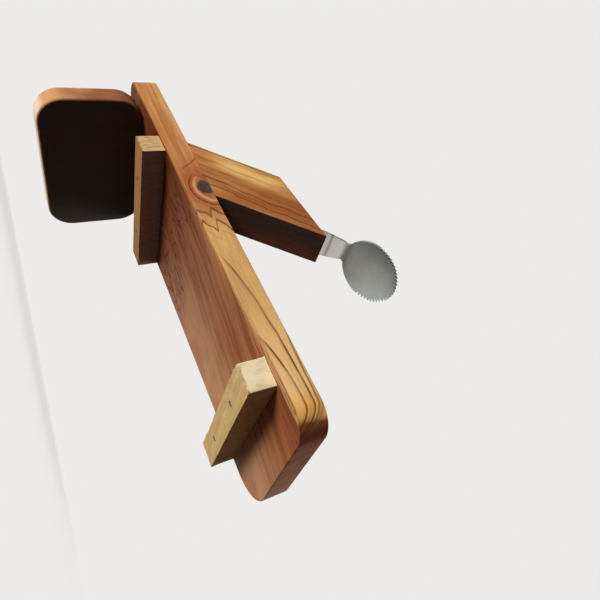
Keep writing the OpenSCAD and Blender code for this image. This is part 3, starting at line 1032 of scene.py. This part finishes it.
# %% The rule for the toothed dish
DISH = {"Radius": 28.2 * MM, "Hollow radius": 68 * MM, "Sheet": BLADE_T * MM, "Teeth": 28,
        "Arc": math.radians(186), "Gap depth": 2.6 * MM, "Land": 0.6 * MM,
        "Neck reach": 29.2 * MM, "Neck half width": 10.2 * MM, "File wander": 0.12,
        "Rings": 18, "Back columns": 120, "Seed": 7}
PER_TOOTH, GAP_COLUMNS = 8, 0.375
ROOT_DEPTH, BACK_SHALLOWER = 1.15, 0.22
RIM_BREAK, WELD = 0.12, 0.004


def dish_rule(name, finish):
    """A grid laid round the dish: columns run round it, rows over its profile."""
    tree, size = new_rule(name, DISH)
    index = Wire(tree, tree.nodes.new("GeometryNodeInputIndex").outputs["Index"])
    gaps, rings, plain, arc = size["Teeth"] - 1, size["Rings"], size["Radius"], size["Arc"]
    rows, toothed = rings * 2 + 3, gaps * PER_TOOTH
    grid = rows.node("GeometryNodeMeshGrid", {
        "Vertices X": toothed + size["Back columns"] + 1, "Vertices Y": rows}, "Mesh")
    column = (index / rows).math("FLOOR")
    row = index - column * rows

    # Direction: columns bunch up where the file starts and stops
    pitch = arc / gaps
    gap_share = 0.5 * (1 - size["Land"] / (plain * pitch))
    tooth = column / PER_TOOTH
    number = tooth.math("FLOOR")
    part = tooth - number - 0.5
    off = part.math("ABSOLUTE")
    on_land = (off - GAP_COLUMNS) * ((0.5 - gap_share) / (0.5 - GAP_COLUMNS)) + gap_share
    off = (off * (gap_share / GAP_COLUMNS)).math("MINIMUM", on_land)
    front = (number + 0.5 + part.math("SIGN") * off) * pitch - arc * 0.5
    back = arc * 0.5 + (column - toothed) / size["Back columns"] * (2 * math.pi - arc)
    is_front = column.math("LESS_THAN", toothed)
    angle = is_front * front + (1 - is_front) * back

    # How far out the sheet goes in that direction
    luck = part.node("FunctionNodeRandomValue", {
        "Min": 1 - size["File wander"], "Max": 1.0, "ID": number, "Seed": size["Seed"]},
        data_type="FLOAT")
    filed = (1 - off / gap_share).math("MAXIMUM", 0) * luck * is_front
    cosine, sine = angle.math("COSINE"), angle.math("SINE")
    to_end = size["Neck reach"] / (-cosine).math("MAXIMUM", 0.01)
    to_side = size["Neck half width"] / sine.math("ABSOLUTE").math("MAXIMUM", 0.01)
    neck = to_end.math("MINIMUM", to_side) * cosine.math("LESS_THAN", -0.5)

    # Place on the profile: hollow side, rim, outside
    level = row - rings - 1
    outer, steps = level.math("GREATER_THAN", 0), level.math("ABSOLUTE")
    beside_rim = steps.math("GREATER_THAN", 0.5)
    share = ((rings + 1 - steps) / rings).math("MINIMUM", 1)
    deep = size["Gap depth"] * filed * (1 - outer * BACK_SHALLOWER)
    limit = (plain - deep).math("MAXIMUM", neck)
    root = plain - size["Gap depth"] * ROOT_DEPTH
    body = 1 - 2 / rings
    outside = ((share - body) / (2 / rings)).math("MAXIMUM", 0)
    reach = root * (share / body).math("MINIMUM", 1) + (limit - root) * outside
    reach = reach - beside_rim * outside.math("GREATER_THAN", 0.9) * (RIM_BREAK * MM)
    rim_height = (size["Hollow radius"] ** 2 - plain ** 2) ** 0.5
    ball = size["Hollow radius"] + size["Sheet"] * (outer - 0.5) * beside_rim
    height = (ball ** 2 - reach ** 2) ** 0.5 - rim_height
    shaped = grid.node("GeometryNodeSetPosition", {
        "Geometry": grid, "Position": vector(reach * cosine, reach * sine, height)})
    return end_rule(shaped.node("GeometryNodeMergeByDistance", {
        "Geometry": shaped, "Distance": WELD * MM}), finish)


dish_tree = dish_rule("toothed_dish", blade_steel)
blade = run_rule("scraper_blade", dish_tree, DISH)
print("dish:", len(blade.data.polygons), "faces from", len(dish_tree.nodes), "nodes")

# %% [markdown]
# ### Shank
# Tang and shank are one strip, bent where it leaves the wood and tapering to the neck.
# It is lofted from cross-sections along its side view. A line was pressed across it with
# the bending tool; its dark stripe is a shallow groove in the strip and painted shade.

# %% Shank, neck notches and the whole blade
SHANK_L, NECK_W, NECK_LAP, DISH_LEAN = 22.5, 20.4, 0.5, 19
PRESS_REACH, PRESS_DEPTH, SHEAR = 1.6, 0.12, 0.2
RELIEF_R, PUNCH_HALF, BLADE_ANGLE = 1.2, 6, 32
crease = exit_spot + CREASE_OUT * heading(TANG_LEAN)
shank_end = crease + SHANK_L * heading(SHANK_LEAN)


def shank_path():
    """Middle line of the strip as (x, z, width) stations, with a pressed line."""
    stations = [(*(crease - (TANG_L + CREASE_OUT) * (1 - share) * heading(TANG_LEAN)), TANG_W)
                for share in (0, 0.5, 0.9, 1)]
    press = [PRESS_AT + PRESS_REACH * i / 4 for i in range(-4, 5)]
    for t in (3, *press, 14, 18, SHANK_L):
        off = min(abs(t - PRESS_AT) / PRESS_REACH, 1)
        depth = PRESS_DEPTH * (1 + math.cos(math.pi * off)) / 2
        spot = crease + t * heading(SHANK_LEAN) + depth * heading(SHANK_LEAN + 90)
        stations.append((*spot, TANG_W + (NECK_W - TANG_W) * t / SHANK_L))
    return [*stations, (*(shank_end + NECK_LAP * heading(SHANK_LEAN)), NECK_W)]


def strip(name, stations, thick, ease):
    """Lofts a flat bar with broken edges through its stations."""
    rings = []
    for i, (x, z, width) in enumerate(stations):
        before, after = stations[max(i - 1, 0)], stations[min(i + 1, len(stations) - 1)]
        way = Vector((after[0] - before[0], after[1] - before[1])).normalized()
        half, up = width / 2, thick / 2
        section = [(-half, up - ease), (-half + ease, up), (half - ease, up), (half, up - ease),
                   (half, ease - up), (half - ease, -up), (ease - half, -up), (-half, ease - up)]
        rings.append([(x - way.y * b, arm_y + a, z + way.x * b) for a, b in section])
    return loft(name, rings)


hollow_r, dish_r, neck_reach = [DISH[key] / MM for key in ("Hollow radius", "Radius", "Neck reach")]
drop = math.sqrt(hollow_r**2 - dish_r**2) - math.sqrt(hollow_r**2 - neck_reach**2)
dish_spot = shank_end + neck_reach * heading(DISH_LEAN) + drop * heading(DISH_LEAN + 90)
put(blade, (dish_spot.x, arm_y, dish_spot.y), about("Y", -DISH_LEAN))
write(opened(blade), blade.data)
cut(blade, strip("shank", shank_path(), BLADE_T, SHEAR), "UNION")
relief = [RELIEF_R * heading(15 * i) for i in range(24)]
for side in (-1, 1):
    punch = prism("punch", relief, (-PUNCH_HALF, PUNCH_HALF))
    put(punch, (shank_end.x, arm_y + side * NECK_W / 2, shank_end.y), about("Y", -SHANK_LEAN))
    cut(blade, punch)
blade.data.shade_smooth()
blade.data.set_sharp_from_angle(angle=math.radians(BLADE_ANGLE))
dress(blade, blade_steel, "blade")

# %% [markdown]
# ## Light, floor and background
# One large soft lamp stands low on the right and behind, where it rakes along the
# plank's edge and lights the underside, and leaves the faces that look forward dark. A
# second one hangs above the front, for the top and the front end, and a third one stands
# at the rear left. The floor lets the low lamp's light through, because that lamp stands
# deeper than the floor. What the camera and shiny metal see of the world is pale, and
# what lights the object is much weaker.

# %% Lamps
TARGET = Vector((150, -20, 40))


def lamp(name, direction, distance, size, power):
    """A square area lamp that looks at the object from a direction, distances in metres."""
    light = bpy.data.lights.new(name, "AREA")
    light.shape, light.size, light.energy = "SQUARE", size, power
    made = add(name, light)
    away = Vector(direction).normalized()
    made.location = TARGET * MM + away * distance
    made.rotation_mode = "QUATERNION"
    made.rotation_quaternion = away.to_track_quat("Z", "Y")
    print(name, "at", [round(v, 2) for v in made.location], power, "W")


lamp("low_side_lamp", (-0.36, -0.72, -0.55), 3.2, 1.15, 112)
lamp("front_top_lamp", (0.34, 0.25, 0.90), 1.8, 1, 19)
lamp("rear_left_lamp", (-0.70, 0.65, 0.28), 1.8, 1, 11)

# %% Floor and world
FLOOR_Z, FLOOR_HALF = -107, 30
PALE, NEAR_GLOW = tint(236, 235, 233), tint(253, 252, 250)
SHADOW_SHARE, SHADOW_NEAR, SHADOW_FAR = 0.34, 110, 300
AMBIENT = 0.045
floor_shape = bmesh.new()
bmesh.ops.create_grid(floor_shape, x_segments=2, y_segments=2, size=FLOOR_HALF)
floor = new_object("floor", floor_shape)
put(floor, (0, 0, FLOOR_Z), about("Z", 0))
floor.visible_shadow = False


def seen_directly(tree):
    """1 where the camera or a mirror sees this, 0 where it only lights something."""
    path = tree.nodes.new("ShaderNodeLightPath")
    camera_ray, glossy_ray, clear_ray = [Wire(tree, path.outputs[f"Is {kind} Ray"])
                                         for kind in ("Camera", "Glossy", "Transmission")]
    return (camera_ray + glossy_ray + clear_ray).math("MINIMUM", 1)


pale, floor_surface, floor_place, _ = finish_named("pale_floor")
tree = pale.node_tree
seen = seen_directly(tree)
east, north, _ = parts(floor_place)
along, across = (east - TARGET.x) * 0.6, north - TARGET.y
shadow = ((along * along + across * across) ** 0.5).ease(SHADOW_FAR, SHADOW_NEAR)
speckle = mix(floor_place.cloud(0.02, 3), tint(238, 237, 235), tint(232, 231, 229))
feed(floor_surface, Base_Color=mix(seen, tint(80, 79, 77), speckle), Roughness=0.9,
     Specular_IOR_Level=0.1)
glow = tree.nodes.new("ShaderNodeEmission")
feed(glow, Color=mix(shadow, PALE, NEAR_GLOW))
blend = seen.node("ShaderNodeMixShader", {
    0: seen * (1 - shadow * SHADOW_SHARE), 1: Wire(tree, floor_surface.outputs[0]),
    2: Wire(tree, glow.outputs[0])})
tree.links.new(blend.socket, tree.nodes["Material Output"].inputs["Surface"])
floor.data.materials.append(pale)
floor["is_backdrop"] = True

world = bpy.data.worlds.new("studio")
bpy.context.scene.world = world
world.use_nodes = True
tree = world.node_tree
tree.nodes.clear()
sky = tree.nodes.new("ShaderNodeBackground")
feed(sky, Color=PALE, Strength=AMBIENT + seen_directly(tree) * (1 - AMBIENT))
tree.links.new(sky.outputs["Background"], tree.nodes.new("ShaderNodeOutputWorld").inputs["Surface"])
print("floor at", FLOOR_Z, "mm")

# %% [markdown]
# ## Sizes
# The dressed object is meant to stay as large as the CAD model; both boxes are printed next
# to each other.

# %% Print both boxes
dressed_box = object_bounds()
for label, box in (("cad", cad_box), ("visual", dressed_box)):
    print(label, [[round(v / MM, 2) for v in corner] for corner in box])
